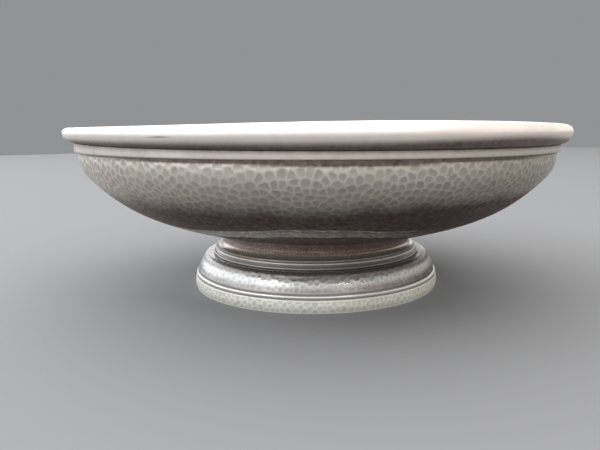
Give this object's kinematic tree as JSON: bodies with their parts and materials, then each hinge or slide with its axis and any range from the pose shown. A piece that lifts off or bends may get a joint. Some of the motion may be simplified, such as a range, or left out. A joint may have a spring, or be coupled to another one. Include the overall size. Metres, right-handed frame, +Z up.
{
  "type": "footed dish",
  "caption": "Wide shallow hammered pewter dish with a smooth rounded rim lip, standing on a low stepped round foot with a beaded ring.",
  "frame": {"origin": "centre of the foot, on the surface the dish stands on", "axes": "+Z up, along the dish's axis of symmetry; +X and +Y are level"},
  "size_m": [0.23, 0.23, 0.0766],
  "materials": {
    "hammered_pewter": "hammered pewter, satin, with dark tarnish in the hammer marks",
    "foot_pewter": "finely hammered pewter, satin, tarnished in its hollows",
    "smooth_pewter": "smooth pewter, softly burnished, with fine scratches"
  },
  "bodies": {
    "root": {"bowl": "hammered_pewter", "rim_lip": "smooth_pewter", "rim_band": "smooth_pewter", "foot_neck": "foot_pewter", "reeded_wire": "smooth_pewter", "foot_dome": "foot_pewter", "base_wire": "smooth_pewter", "base_band": "foot_pewter"}
  },
  "joints": []
}
